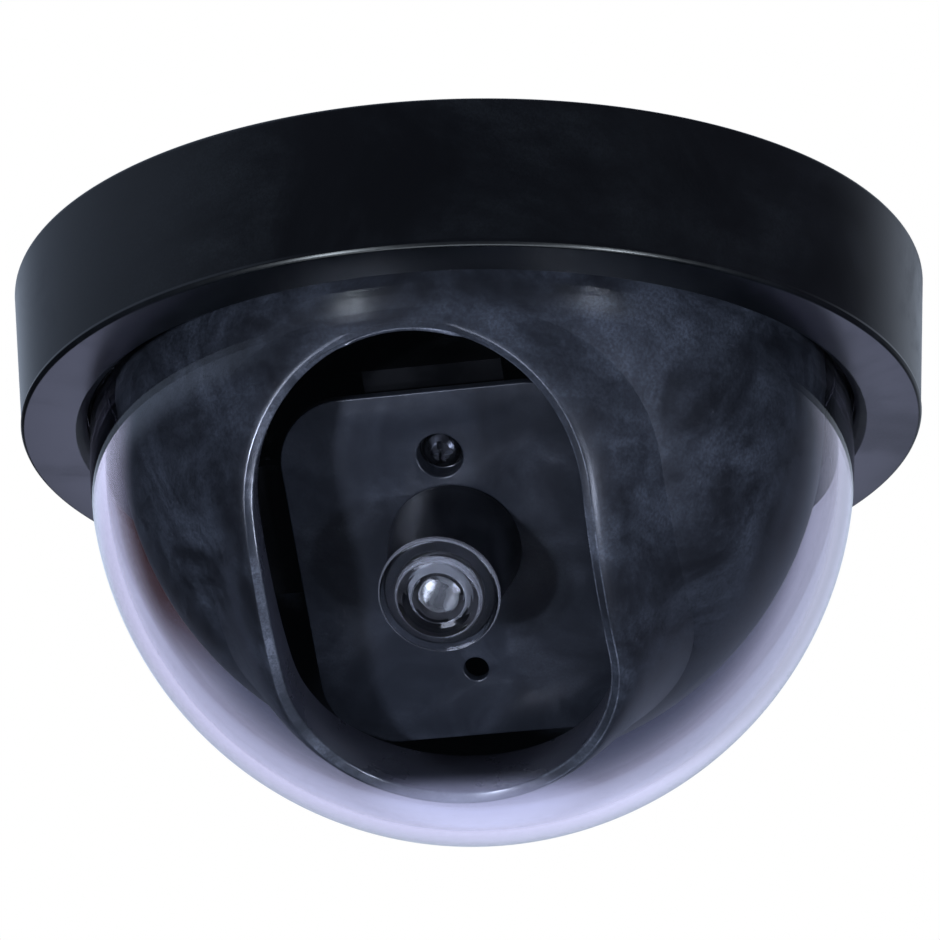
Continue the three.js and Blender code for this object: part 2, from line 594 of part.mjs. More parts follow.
function buildBoard() {
  const board = toSolid(block(
    [-BOARD.halfWidth, -BOARD.halfHeight, BOARD.back], [BOARD.halfWidth, BOARD.halfHeight, BOARD.front],
  ));
  const holes = [-BOARD_SCREW_X, BOARD_SCREW_X].map(
    (x) => toSolid(rodZ(BOARD.screwHole, BOARD.back - 1, BOARD.front + 1, x, 0, SMALL_ROUND)),
  );
  return cut(board, holes);
}

// A thin wire between the board and the holder, with its middle slack
const WIRE = { radius: 0.6, apart: 4.4 };

function wire(points) {
  const section = new THREE.Shape();
  section.absarc(0, 0, WIRE.radius, 0, 2 * Math.PI);
  const path = new THREE.CatmullRomCurve3(points.map((point) => new THREE.Vector3(...point)));
  return new THREE.ExtrudeGeometry(section, { extrudePath: path, steps: 16, curveSegments: 4 });
}

function buildHead() {
  place(head, 'head_bracket', buildBracket(), plainBlack);
  place(head, 'face_plate', buildFacePlate(), glossBlack);
  const plateScrew = place(head, 'plate_screw', screwZ(2.5, 1.4, 1.1, 17.4, 12), screwSteel);
  plateScrew.position.y = SCREW_Y;
  const onLensAxis = [
    place(head, 'lens_barrel', buildBarrel(), glossBlack),
    place(head, 'barrel_nut', buildBarrelNut(), plainBlack),
    place(head, 'lens_cap', buildLensCap(), clearLensMaterial),
    place(head, 'led_grommet', buildGrommet(), softBlack),
    place(head, 'led', buildLed(), ledMaterial),
    place(head, 'led_board', buildBoard(), boardGreen),
    place(head, 'resistor', rodX(0.9, 1.2, 5.2, 4.2, 10.3, 10), resistorBeige),
  ];
  [-BOARD_SCREW_X, BOARD_SCREW_X].forEach((x, i) => {
    const screw = place(head, `board_screw_${i + 1}`, screwZ(1.7, 1.2, 0.8, 11.3, 15, -1), screwSteel);
    screw.position.x = x;
    onLensAxis.push(screw);
  });
  onLensAxis.forEach((mesh) => {
    mesh.position.y = LENS_Y;
  });
  const redRoute = [
    [-3.2, -6.9, -33.6], [-3.3, -5.6, -31.8], [-4.2, -3.6, -27.4],
    [-4.6, -1, -22], [-4.2, 0.6, -17.4], [-4, 3.1, -15.6],
  ];
  const blackRoute = redRoute.map(([x, y, z]) => [x + WIRE.apart, y, z]);
  place(camera, 'wire_red', wire(redRoute), wireRed);
  place(camera, 'wire_black', wire(blackRoute), wireBlack);
}

buildBase();
buildCover();
buildTable();
buildPower();
buildHead();

export default camera;
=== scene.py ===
"""Looks of the ceiling dome camera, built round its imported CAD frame.

The helpers below take millimetres and make Blender objects in metres, in the frame's own axes: the origin is
the centre of the ceiling face, +Z is up and the lens faces -Y.
"""
import json
import math

import bmesh
import bpy
from mathutils import Matrix, Vector


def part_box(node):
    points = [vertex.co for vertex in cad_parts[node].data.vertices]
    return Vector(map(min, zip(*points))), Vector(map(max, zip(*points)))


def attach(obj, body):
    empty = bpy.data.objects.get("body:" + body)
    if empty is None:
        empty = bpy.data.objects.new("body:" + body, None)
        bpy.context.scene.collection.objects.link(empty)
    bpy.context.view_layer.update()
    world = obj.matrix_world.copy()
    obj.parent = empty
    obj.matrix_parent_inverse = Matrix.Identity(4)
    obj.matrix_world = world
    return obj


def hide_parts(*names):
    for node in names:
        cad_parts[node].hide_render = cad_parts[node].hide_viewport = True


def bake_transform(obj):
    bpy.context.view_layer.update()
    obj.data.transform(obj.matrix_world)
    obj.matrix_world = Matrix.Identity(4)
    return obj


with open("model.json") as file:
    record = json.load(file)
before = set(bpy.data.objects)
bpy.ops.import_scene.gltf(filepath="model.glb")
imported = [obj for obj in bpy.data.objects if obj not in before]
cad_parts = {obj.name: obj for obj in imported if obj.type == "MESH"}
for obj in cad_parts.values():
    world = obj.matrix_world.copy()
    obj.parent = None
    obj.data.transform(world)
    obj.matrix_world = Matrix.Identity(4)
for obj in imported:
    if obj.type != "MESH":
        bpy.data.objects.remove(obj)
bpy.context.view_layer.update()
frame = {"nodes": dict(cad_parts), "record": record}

MM = 0.001

# ---------------------------------------------------------------- sizes, in millimetres, from the frame
RING_LOW, RING_HIGH = (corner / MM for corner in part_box("outer_ring"))
DOME_LOW, DOME_HIGH = (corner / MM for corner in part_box("clear_dome"))
LINER_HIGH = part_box("liner")[1] / MM
BASE_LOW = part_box("base_plate")[0] / MM

# Base plate
BASE_RIM = 55.4           # outer radius of the skirt
BASE_SKIRT_WALL = 1.2
BASE_SKIRT_FOOT = -7.2
BASE_UNDERSIDE = -2.4     # lower face of the disc
BASE_BOSS = 4.5           # radius of the boss round the pan screw
BASE_GROOVES = (46.3, 19.7)     # middle radii of the two moulded lines on the ceiling side
SCREW_SLOT_X = 50.6
LUG_ANGLES = (30, 150, 270)
LUG_RADIUS = 56.7
LUG_TOP = -5.6            # the bayonet's lugs, each with a stop at one end
LUG_STOP_TOP = -3.6

# Cover
RING_RADIUS = RING_HIGH.x
RING_TAPER = 1.1          # how much the foot is smaller than the top
RING_INNER = 57.3
RING_LIP = 51.8           # where the underside's inward step begins
RING_MOUTH = 50.35
RING_LEDGE = RING_LOW.z + 1.8   # the ledge that the dome's flange rests on
HOOK_INNER = 55.8         # the bayonet's hooks, which rest on the lugs
HOOK_LOW = -5.2
POST_RADIUS = 55.4        # how far out the four screw posts stand
DOME_RADIUS = 49.96
DOME_WALL = 2.0
DOME_CENTRE = Vector((0, 0, DOME_LOW.z + DOME_RADIUS))
DOME_FLANGE_THICK = 1.8

# Liner, with a hood that spreads smoothly into it round a long window
LINER_RADIUS = LINER_HIGH.x
LINER_WALL = 1.2
LINER_CENTRE = Vector((0, 0, -17.3))
LINER_TAB_ANGLES = (270, 20, 160)
LINER_BOSS_RADIUS = 43    # how far out the three screw bosses stand
LINER_BOSS_FOOT = -14
WINDOW_HALF_WIDTH = 20.5
WINDOW_HALF_LENGTH = 31.5
HOOD_RADIUS = 46.0        # the hood's lip lies on a sphere of this size about the dome's centre
HOOD_WALL = 1.25
HOOD_BEVEL = 0.35         # how far the lip falls inwards
HOOD_FLARE_SIDE = 9.0     # how far the foot of the hood spreads beside the window
HOOD_FLARE_END = 3.0      # and above and below it
FLARE_STEPS = 14
HOOD_LIP_FACES = range(2, 11)   # which faces of each section take the lip's painted highlight
HOOD_FLAT_FACE = 6              # and which one is the flat between its two edges

# Lens head: heights are along the lens, from the dome's centre
LENS_TILT = math.radians(45)
LENS_Y = -2.86            # places up the face plate of the lens, the screw and the small hole
SCREW_Y = 9.7
HOLE_Y = -20.2
PLATE_HALF_WIDTH = 20.6
PLATE_BOTTOM = -29.6
PLATE_TOP = 18.5
PLATE_CORNER = 9.0
PLATE_FRONT = 20.0
PLATE_BACK = 18.5
RECESS_RADIUS = 2.95      # the recess that the plate's screw stands in
RECESS_FLOOR = 17.1
SPIGOT_RADIUS = 4.9
SPIGOT_BORE = 4.0
SPIGOT_BACK = 16.9
BARREL_FOOT = 20.3
BARREL_FOOT_RADIUS = 8.6
BARREL_TOP = 34.0
BARREL_TOP_RADIUS = 7.0
BARREL_BORE = 5.6
LED_SHELF = 28.3
LED_BACK = 27.3
LED_TIP = 35.7
LED_RADIUS = 2.5
CAP_RADIUS = 7.7
CAP_BACK = 34.3
CAP_FACE = 35.5
CAP_TOP = 37.3
CAP_DOME = 6.2            # radius of the cap's domed front
CAP_HOLLOW = 36.15        # top of the hollow over the LED

# The head's own frame: X right, Y up the face plate, Z out along the lens from the dome's centre
HEAD = Matrix.Translation(DOME_CENTRE) @ Matrix.Rotation(math.pi / 2 + LENS_TILT, 4, "X")
LENS_AXIS = HEAD @ Matrix.Translation((0, LENS_Y, 0))


# ---------------------------------------------------------------- mesh helpers
def new_object(name, mesh):
    piece = bpy.data.objects.new(name, mesh)
    bpy.context.scene.collection.objects.link(piece)
    return piece


def mesh_piece(name, points, faces, matrix=Matrix.Identity(4)):
    """A mesh object from points in millimetres, placed by a matrix in millimetres."""
    mesh = bpy.data.meshes.new(name)
    mesh.from_pydata([(matrix @ Vector(point)) * MM for point in points], [], faces)
    mesh.update()
    piece = new_object(name, mesh)
    tidy_normals(piece)
    return piece


def tidy_normals(piece):
    work = bmesh.new()
    work.from_mesh(piece.data)
    bmesh.ops.remove_doubles(work, verts=work.verts, dist=1e-7)
    bmesh.ops.recalc_face_normals(work, faces=work.faces)
    work.to_mesh(piece.data)
    work.free()


def smooth(piece, angle=32):
    """Smooth shading, with a sharp edge wherever two faces meet at more than the angle."""
    work = bmesh.new()
    work.from_mesh(piece.data)
    limit = math.radians(angle)
    for face in work.faces:
        face.smooth = True
    for edge in work.edges:
        edge.smooth = len(edge.link_faces) == 2 and edge.calc_face_angle(0) < limit
    work.to_mesh(piece.data)
    work.free()
    return piece


def rounded(corners, closed=True, steps=6):
    """An outline from (x, y, fillet radius) corners, with each fillet as an arc."""
    outline = []
    count = len(corners)
    for i, (x, y, radius) in enumerate(corners):
        here = Vector((x, y))
        if radius <= 0 or (not closed and i in (0, count - 1)):
            outline.append((x, y))
            continue
        to_last = (Vector(corners[i - 1][:2]) - here).normalized()
        to_next = (Vector(corners[(i + 1) % count][:2]) - here).normalized()
        if (to_last + to_next).length < 1e-3:
            outline.append((x, y))
            continue
        half = to_last.angle(to_next) / 2
        centre = here + (to_last + to_next).normalized() * radius / math.sin(half)
        start = here + to_last * radius / math.tan(half) - centre
        turn = start.angle_signed(here + to_next * radius / math.tan(half) - centre)
        for step in range(steps + 1):
            angle = -turn * step / steps
            c, s = math.cos(angle), math.sin(angle)
            outline.append((centre.x + start.x * c - start.y * s, centre.y + start.x * s + start.y * c))
    return outline


def arc(radius, centre_z, start, end, steps):
    """Points of (radius, z) round a centre on the axis, between two angles in degrees."""
    points = []
    for step in range(steps + 1):
        angle = math.radians(start + (end - start) * step / steps)
        points.append((max(0.0, radius * math.cos(angle)), centre_z + radius * math.sin(angle)))
    return points


def lathe(name, profile, segments=192, matrix=Matrix.Identity(4)):
    """Turns a closed profile of (radius, z) points about Z. Points on the axis become one vertex."""
    points, rings = [], []
    for radius, z in profile:
        if radius < 1e-6:
            rings.append([len(points)] * segments)
            points.append((0, 0, z))
            continue
        rings.append(list(range(len(points), len(points) + segments)))
        for i in range(segments):
            angle = 2 * math.pi * i / segments
            points.append((radius * math.cos(angle), radius * math.sin(angle), z))
    faces = []
    for low, high in zip(rings, rings[1:] + rings[:1]):
        for i in range(segments):
            k = (i + 1) % segments
            corners = []
            for index in (low[i], low[k], high[k], high[i]):
                if index not in corners:
                    corners.append(index)
            if len(corners) > 2:
                faces.append(corners)
    return smooth(mesh_piece(name, points, faces, matrix))


def prism(name, outline, low, high, matrix=Matrix.Identity(4)):
    """An outline of (x, y) points stood up between two heights."""
    count = len(outline)
    points = [(x, y, low) for x, y in outline] + [(x, y, high) for x, y in outline]
    faces = [list(range(count)), list(range(count, 2 * count))]
    faces += [[i, (i + 1) % count, count + (i + 1) % count, count + i] for i in range(count)]
    return mesh_piece(name, points, faces, matrix)


def rod(name, radius, low, high, matrix=Matrix.Identity(4), segments=48):
    return lathe(name, [(0, low), (radius, low), (radius, high), (0, high)], segments, matrix)


def slab(name, low, high, matrix=Matrix.Identity(4)):
    outline = [(low[0], low[1]), (high[0], low[1]), (high[0], high[1]), (low[0], high[1])]
    return prism(name, outline, low[2], high[2], matrix)


def cut(piece, cutters):
    """Cuts other objects out of a piece. They are used up."""
    for cutter in cutters:
        step = piece.modifiers.new("cut", "BOOLEAN")
        step.object = cutter
        step.operation = "DIFFERENCE"
        step.solver = "EXACT"
        apply_modifiers(piece)
        bpy.data.objects.remove(cutter)
    return piece


def apply_modifiers(piece):
    graph = bpy.context.evaluated_depsgraph_get()
    mesh = bpy.data.meshes.new_from_object(piece.evaluated_get(graph))
    piece.modifiers.clear()
    old = piece.data
    piece.data = mesh
    bpy.data.meshes.remove(old)


def bevel(piece, width, segments=3, angle=35, apply=True):
    """Rounds the edges that are sharper than the angle, by a width in millimetres."""
    step = piece.modifiers.new("edges", "BEVEL")
    step.width = width * MM
    step.segments = segments
    step.limit_method = "ANGLE"
    step.angle_limit = math.radians(angle)
    step.use_clamp_overlap = True
    step.miter_outer = "MITER_ARC"
    if apply:
        apply_modifiers(piece)
        smooth(piece)
    return piece


def merge(name, pieces):
    """Several closed shells kept as one object."""
    work = bmesh.new()
    for piece in pieces:
        work.from_mesh(piece.data)
    mesh = bpy.data.meshes.new(name)
    work.to_mesh(mesh)
    work.free()
    for piece in pieces:
        bpy.data.objects.remove(piece)
    return new_object(name, mesh)


def settle(piece, body, slot, material, *nodes):
    """Gives a piece its body and material, and lets it stand for its CAD nodes."""
    piece.data.materials.clear()
    piece.data.materials.append(material)
    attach(piece, body)
    if nodes:
        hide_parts(*nodes)
    return piece


# ---------------------------------------------------------------- material helpers
class Nodes:
    """Short calls for the shader nodes used here."""

    def __init__(self, tree, place):
        self.tree = tree
        self.place = place

    def link(self, source, target):
        self.tree.links.new(source, target)

    def new(self, kind, **properties):
        node = self.tree.nodes.new("ShaderNode" + kind)
        for name, value in properties.items():
            setattr(node, name, value)
        return node

    def stretched(self, scale, turn=(0, 0, 0)):
        node = self.new("Mapping")
        node.inputs["Scale"].default_value = scale
        node.inputs["Rotation"].default_value = turn
        self.link(self.place, node.inputs["Vector"])
        return node.outputs["Vector"]

    def noise(self, scale, detail=4, roughness=0.6, vector=None, distortion=0.0):
        node = self.new("TexNoise")
        node.inputs["Scale"].default_value = scale
        node.inputs["Detail"].default_value = detail
        node.inputs["Roughness"].default_value = roughness
        node.inputs["Distortion"].default_value = distortion
        self.link(vector or self.place, node.inputs["Vector"])
        return node.outputs["Fac"]

    def between(self, source, low, high, to_low=0.0, to_high=1.0):
        """Spreads a value from one range over another, and clamps it."""
        node = self.new("MapRange", interpolation_type="SMOOTHSTEP")
        for name, value in (("From Min", low), ("From Max", high), ("To Min", to_low), ("To Max", to_high)):
            node.inputs[name].default_value = value
        self.link(source, node.inputs["Value"])
        return node.outputs["Result"]

    def maths(self, operation, *terms):
        node = self.new("Math", operation=operation)
        for term, socket in zip(terms, node.inputs):
            if isinstance(term, (int, float)):
                socket.default_value = term
            else:
                self.link(term, socket)
        return node.outputs["Value"]

    def along(self, axis):
        """How far a point or way lies along an axis."""
        node = self.new("VectorMath", operation="DOT_PRODUCT")
        node.inputs[1].default_value = axis
        self.link(self.place, node.inputs[0])
        return node.outputs["Value"]

    def mixed(self, share, first, second, blend="MIX"):
        """A colour between two colours, or their sum."""
        node = self.new("Mix", data_type="RGBA", blend_type=blend)
        colours = [socket for socket in node.inputs if socket.type == "RGBA"]
        for socket, colour in zip(colours, (first, second)):
            if isinstance(colour, tuple):
                socket.default_value = (*colour, 1)
            else:
                self.link(colour, socket)
        if isinstance(share, (int, float)):
            node.inputs["Factor"].default_value = share
        else:
            self.link(share, node.inputs["Factor"])
        return next(socket for socket in node.outputs if socket.type == "RGBA")


class Surface(Nodes):
    """A new material with a Principled shader."""

    def __init__(self, name):
        self.material = bpy.data.materials.new(name)
        self.material.use_nodes = True
        tree = self.material.node_tree
        super().__init__(tree, tree.nodes.new("ShaderNodeTexCoord").outputs["Object"])
        self.shader = tree.nodes["Principled BSDF"]
        self.output = tree.nodes["Material Output"]

    def set(self, **values):
        for name, value in values.items():
            self.shader.inputs[name.replace("_", " ")].default_value = value
        return self

    def bumped(self, height, strength, distance):
        node = self.new("Bump")
        node.inputs["Strength"].default_value = strength
        node.inputs["Distance"].default_value = distance * MM
        self.link(height, node.inputs["Height"])
        self.link(node.outputs["Normal"], self.shader.inputs["Normal"])


def black_plastic(
        name, body, dust, dust_share, cloud_size, rough, grain, speck_size=0.31, speck_range=(0.45, 1.3)):
    """Moulded black plastic under a cloudy film of dust, with fine specks and hairline scratches.

    body and dust are colours and dust_share is the most dust that shows. cloud_size and speck_size are the widths
    of a cloud and a speck, and grain is the texture's depth, in millimetres. rough is the roughness of bare and of
    dusty plastic, and speck_range is how much dust lies off and on a speck.
    """
    surface = Surface(name)
    clouds = surface.noise(1000 / cloud_size, 7, 0.66, distortion=0.8)
    wisps = surface.noise(70, 5, 0.65, surface.stretched((1.0, 1.0, 2.6), (0.5, 0.3, 0.0)))
    specks = surface.noise(1000 / speck_size, 3, 0.7)
    patches = surface.between(clouds, 0.36, 0.70)
    streaks = surface.between(wisps, 0.28, 0.66, 0.25, 1.0)
    film = surface.maths("MULTIPLY", patches, streaks)
    grainy = surface.maths("MULTIPLY", film, surface.between(specks, 0.32, 0.68, *speck_range))
    lines = surface.noise(300, 4, 0.75, surface.stretched((0.3, 6.0, 1.4), (0.2, 0.9, 0.5)))
    hairlines = surface.between(lines, 0.70, 0.73)
    scratched = surface.maths("ADD", grainy, surface.maths("MULTIPLY", hairlines, 0.35))
    dusty = surface.maths("MULTIPLY", scratched, dust_share)
    surface.link(surface.mixed(dusty, body, dust), surface.shader.inputs["Base Color"])
    surface.link(surface.between(film, 0, 1, *rough), surface.shader.inputs["Roughness"])
    height = surface.maths("SUBTRACT", surface.noise(1400, 3, 0.6), surface.maths("MULTIPLY", hairlines, 0.4))
    surface.bumped(height, 0.35, grain)
    return surface.material


def plain_plastic(name, colour, rough, shine=0.5):
    """Even moulded plastic with a faint grain and slightly uneven colour."""
    surface = Surface(name)
    uneven = surface.between(surface.noise(120, 4), 0.3, 0.7)
    lighter = tuple(min(1.0, channel * 1.25 + 0.004) for channel in colour)
    surface.link(surface.mixed(uneven, colour, lighter), surface.shader.inputs["Base Color"])
    dullness = surface.between(uneven, 0, 1, rough - 0.05, rough + 0.07)
    surface.link(dullness, surface.shader.inputs["Roughness"])
    surface.bumped(surface.noise(1800, 3), 0.3, 0.02)
    return surface.set(Specular_IOR_Level=shine).material


def plated_metal(name, colour, rough):
    surface = Surface(name)
    drawn = surface.noise(900, 3, 0.6, surface.stretched((1, 1, 0.15)))
    tone = surface.between(drawn, 0.3, 0.7)
    darker = tuple(channel * 0.82 for channel in colour)
    surface.link(surface.mixed(tone, darker, colour), surface.shader.inputs["Base Color"])
    dullness = surface.between(drawn, 0.3, 0.7, rough - 0.06, rough + 0.1)
    surface.link(dullness, surface.shader.inputs["Roughness"])
    surface.bumped(drawn, 0.2, 0.01)
    return surface.set(Metallic=1.0).material


def clear_plastic(name, tint, ior, rough, ripple, ripple_size):
    """Clear moulded plastic. Light from lamps, and light scattered inside, pass straight through it."""
    surface = Surface(name)
    surface.set(Base_Color=(*tint, 1), Roughness=rough, IOR=ior, Transmission_Weight=1.0)
    surface.bumped(surface.noise(1000 / ripple_size, 2, 0.5), 0.5, ripple)
    through = surface.tree.nodes.new("ShaderNodeBsdfTransparent")
    through.inputs["Color"].default_value = (*[math.sqrt(channel) * 0.97 for channel in tint], 1)
    path = surface.tree.nodes.new("ShaderNodeLightPath")
    either = surface.maths("MAXIMUM", path.outputs["Is Shadow Ray"], path.outputs["Is Diffuse Ray"])
    mix = surface.tree.nodes.new("ShaderNodeMixShader")
    surface.link(either, mix.inputs["Fac"])
    surface.link(surface.shader.outputs["BSDF"], mix.inputs[1])
    surface.link(through.outputs["BSDF"], mix.inputs[2])
    surface.link(mix.outputs["Shader"], surface.output.inputs["Surface"])
    return surface.material


def milky_plastic(name, tint, clearness, rough):
    """Clear plastic that scatters some of its light, as a frosted wall or a bulb does."""
    surface = Surface(name)
    cloudy = surface.between(surface.noise(700, 3), 0.3, 0.7)
    shade = tuple(channel * 0.9 for channel in tint)
    surface.link(surface.mixed(cloudy, shade, tint), surface.shader.inputs["Base Color"])
    dullness = surface.between(cloudy, 0, 1, rough - 0.05, rough + 0.05)
    surface.link(dullness, surface.shader.inputs["Roughness"])
    return surface.set(IOR=1.54, Transmission_Weight=clearness).material


ring_black = black_plastic(
    "ring_gloss_black", (0.0028, 0.0034, 0.0050), (0.060, 0.072, 0.092), 0.20, 34, (0.28, 0.40), 0.010)
liner_black = black_plastic(
    "liner_satin_black", (0.008, 0.009, 0.011), (0.100, 0.115, 0.138), 0.55, 17, (0.38, 0.52), 0.016,
    0.4, (0.5, 1.35))
# Lighter black for the window's lip: a painted highlight along its edges, under a cloudy film of real dust.
lip_highlight_paint = black_plastic(
    "liner_lip_painted_highlight", (0.030, 0.033, 0.038), (0.230, 0.245, 0.275), 0.60, 9, (0.18, 0.30), 0.008)
plate_black = black_plastic(
    "plate_gloss_black", (0.014, 0.016, 0.020), (0.090, 0.100, 0.120), 0.30, 11, (0.30, 0.42), 0.006)
# Near-black, barely reflecting copy of the moulded black for the head's bracket: painted shade, for the dark space
# behind the face plate.
bracket_shaded_black = plain_plastic("bracket_painted_shade", (0.0008, 0.0009, 0.0011), 0.45, 0.06)
# Lighter, bluish black for the hood's inner wall: a painted reflection of the bright low glow.
inner_painted_reflection = plain_plastic("hood_inner_black", (0.030, 0.032, 0.042), 0.30, 0.5)
barrel_black = black_plastic(
    "barrel_gloss_black", (0.0025, 0.003, 0.004), (0.060, 0.066, 0.080), 0.15, 8, (0.30, 0.38), 0.006)
moulded_black = plain_plastic("moulded_black", (0.0050, 0.0053, 0.0060), 0.42)
nylon = plain_plastic("nylon", (0.72, 0.71, 0.66), 0.45)
seal_foam = plain_plastic("seal_foam", (0.010, 0.010, 0.011), 0.9)
cell_sleeve = plain_plastic("cell_sleeve", (0.06, 0.12, 0.22), 0.3)
circuit_board = plain_plastic("circuit_board", (0.03, 0.16, 0.06), 0.4)
resistor_body = plain_plastic("resistor_body", (0.55, 0.42, 0.25), 0.4)
wire_red = plain_plastic("wire_red", (0.45, 0.02, 0.015), 0.35)
wire_black = plain_plastic("wire_black", (0.015, 0.015, 0.016), 0.35)
screw_steel = plated_metal("screw_steel", (0.62, 0.63, 0.65), 0.28)
screw_black = plated_metal("screw_black", (0.055, 0.058, 0.066), 0.30)
spring_steel = plated_metal("spring_steel", (0.72, 0.72, 0.70), 0.22)
clear_acrylic = clear_plastic("clear_dome", (0.90, 0.90, 0.985), 1.49, 0.0, 0.03, 26)
clear_styrene = clear_plastic("clear_lens", (0.98, 0.985, 1.0), 1.56, 0.015, 0.04, 1.6)
frosted_styrene = milky_plastic("clear_lens_edge", (0.92, 0.94, 0.98), 0.82, 0.12)
led_epoxy = milky_plastic("led_lens", (0.92, 0.94, 0.97), 0.965, 0.05)


# ---------------------------------------------------------------- camera, light and stage
CAMERA_AZIMUTH = 11.2        # degrees to the right of the lens side
CAMERA_ELEVATION = -22.25    # degrees: it looks up from below
CAMERA_ROLL = -1.10
CAMERA_DISTANCE = 787        # millimetres from the point it is set out from
CAMERA_AIM = Vector((0, 0, -30))
CAMERA_LENS = 230.9
CAMERA_SHIFT = (-0.0031, 0.0360)

# Softboxes: (name, azimuth and elevation in degrees, distance, width, height in metres, watts, colour)
KEY_COLOUR = (0.80, 0.90, 1.0)
KEY_WAYS = ((-34, -25), (37, -31))      # azimuth and elevation of the two key lights
KEY_LIGHTS = (
    ("key_left", *KEY_WAYS[0], 0.9, 0.07, 0.07, 7, KEY_COLOUR),
    ("key_right", *KEY_WAYS[1], 0.9, 0.07, 0.07, 5, KEY_COLOUR),
    ("low_fill", 25, -62, 0.7, 0.6, 0.4, 1.6, KEY_COLOUR),
    ("top_light", 180, 70, 1.2, 0.8, 0.8, 14, (1.0, 1.0, 1.0)),
)
RING_LIGHTS = (
    ("ring_left", *KEY_WAYS[0], 0.9, 0.07, 0.07, 3, KEY_COLOUR),
    ("ring_right", *KEY_WAYS[1], 0.9, 0.07, 0.07, 4, KEY_COLOUR),
    ("ring_low", -5, -62, 0.9, 0.9, 0.5, 5, KEY_COLOUR),
)

# The room that reflections show, and the backdrop that is seen straight through the dome
ROOM = (0.008, 0.010, 0.013)
# Soft glows in the room: (azimuth, elevation, reach, core, lowest elevation, colour), angles in degrees
GLOWS = (
    (-130, 32, 68, 40, 17, (0.22, 0.27, 0.36)),
    (165, 20, 50, 10, -60, (0.42, 0.48, 0.58)),
    (180, -32, 18, 6, -60, (1.00, 1.07, 1.60)),
    (-40, 31, 10, 0, -60, (0.07, 0.08, 0.11)),
    (48, 32, 7, 0, -60, (0.13, 0.16, 0.21)),
)
GLINT = (5.4, 5.9, 6.3)                 # what a mirror inside the dome sees of a key light
BACKDROP = (1.15, 1.06, 1.25)
BACKDROP_RIM = (1.05, 1.05, 1.38)       # as it is seen in the dome's rim
BACKDROP_DIM = (0.52, 0.53, 0.66)       # straight behind the object
BACKDROP_NEAR = (0.07, 0.08, 0.12)      # and closer still
BACKDROP_WARM = (0.055, 0.020, 0.018)   # a brown patch low on the left
STRAIGHT_ON = (180, -CAMERA_ELEVATION)  # azimuth and elevation of the way the camera looks


def direction(azimuth, elevation):
    """The way from the object to an azimuth, counted from the camera's, and an elevation, in degrees."""
    a, e = math.radians(azimuth + CAMERA_AZIMUTH), math.radians(elevation)
    return Vector((math.sin(a) * math.cos(e), -math.cos(a) * math.cos(e), math.sin(e)))


def make_camera():
    camera = bpy.data.objects.new("camera", bpy.data.cameras.new("camera"))
    bpy.context.scene.collection.objects.link(camera)
    towards = direction(0, CAMERA_ELEVATION)
    camera.location = (CAMERA_AIM + towards * CAMERA_DISTANCE) * MM
    level = (-towards).to_track_quat("-Z", "Y").to_matrix()
    camera.rotation_euler = (level @ Matrix.Rotation(math.radians(CAMERA_ROLL), 3, "Z")).to_euler()
    camera.data.lens = CAMERA_LENS
    camera.data.shift_x, camera.data.shift_y = CAMERA_SHIFT
    bpy.context.scene.camera = camera


def make_softbox(name, azimuth, elevation, distance, width, height, power, colour):
    light = bpy.data.lights.new(name, "AREA")
    light.shape = "RECTANGLE"
    light.size, light.size_y = width, height
    light.energy = power
    light.color = colour
    box = bpy.data.objects.new(name, light)
    bpy.context.scene.collection.objects.link(box)
    aim = CAMERA_AIM * MM
    box.location = aim + direction(azimuth, elevation) * distance
    box.rotation_euler = direction(azimuth, elevation).to_track_quat("Z", "Y").to_euler()
    box.visible_camera = False
    return box


def patch(sky, azimuth, elevation, reach, core):
    """How far a way lies in a round patch of the room: 1 within the core, 0 beyond the reach, in degrees."""
    near = sky.along(direction(azimuth, elevation))
    return sky.between(near, math.cos(math.radians(reach)), math.cos(math.radians(core)))


def glowing_room(sky):
    """Near black with soft glows, which don't reach below their lowest elevation."""
    room = ROOM
    height = sky.along(Vector((0, 0, 1)))
    for azimuth, elevation, reach, core, lowest, colour in GLOWS:
        share = patch(sky, azimuth, elevation, reach, core)
        above = sky.between(height, math.sin(math.radians(lowest - 3)), math.sin(math.radians(lowest + 3)))
        room = sky.mixed(sky.maths("MULTIPLY", share, above), room, colour, "ADD")
    return room


def backdrop(sky):
    """Lavender, dimmer straight behind the object, with a warm patch."""
    colour = sky.mixed(patch(sky, *STRAIGHT_ON, 30, 12), BACKDROP, BACKDROP_DIM)
    left = sky.between(sky.along(direction(-90, 0)), 0.0, 0.30, 0.0, 0.4)
    close = sky.maths("MAXIMUM", patch(sky, *STRAIGHT_ON, 11, 6), left)
    colour = sky.mixed(close, colour, BACKDROP_NEAR)
    return sky.mixed(patch(sky, -169, 22.5, 7, 3.5), colour, BACKDROP_WARM)


def with_rim(sky, path, room):
    """Rays that bounce once inside the dome's wall, at its rim, see the backdrop too."""
    inside_wall = sky.maths("COMPARE", path.outputs["Glossy Depth"], 1, 0.5)
    in_and_out = sky.maths("COMPARE", path.outputs["Transmission Depth"], 2, 0.5)
    rim = sky.maths("MULTIPLY", inside_wall, in_and_out)
    rim = sky.maths("MULTIPLY", rim, patch(sky, *STRAIGHT_ON, 55, 40))
    right = sky.between(sky.along(direction(90, 0)), 0.20, 0.38, 0.0, 0.85)
    return sky.mixed(rim, room, sky.mixed(right, BACKDROP_RIM, BACKDROP_DIM))


def with_glints(sky, path, room):
    """Rays that leave the dome again see a bright patch round each key light."""
    out_again = sky.maths("GREATER_THAN", path.outputs["Transmission Depth"], 2.5)
    for azimuth, elevation in KEY_WAYS:
        share = patch(sky, azimuth, elevation, 14, 9)
        room = sky.mixed(sky.maths("MULTIPLY", share, out_again), room, GLINT, "ADD")
    return room


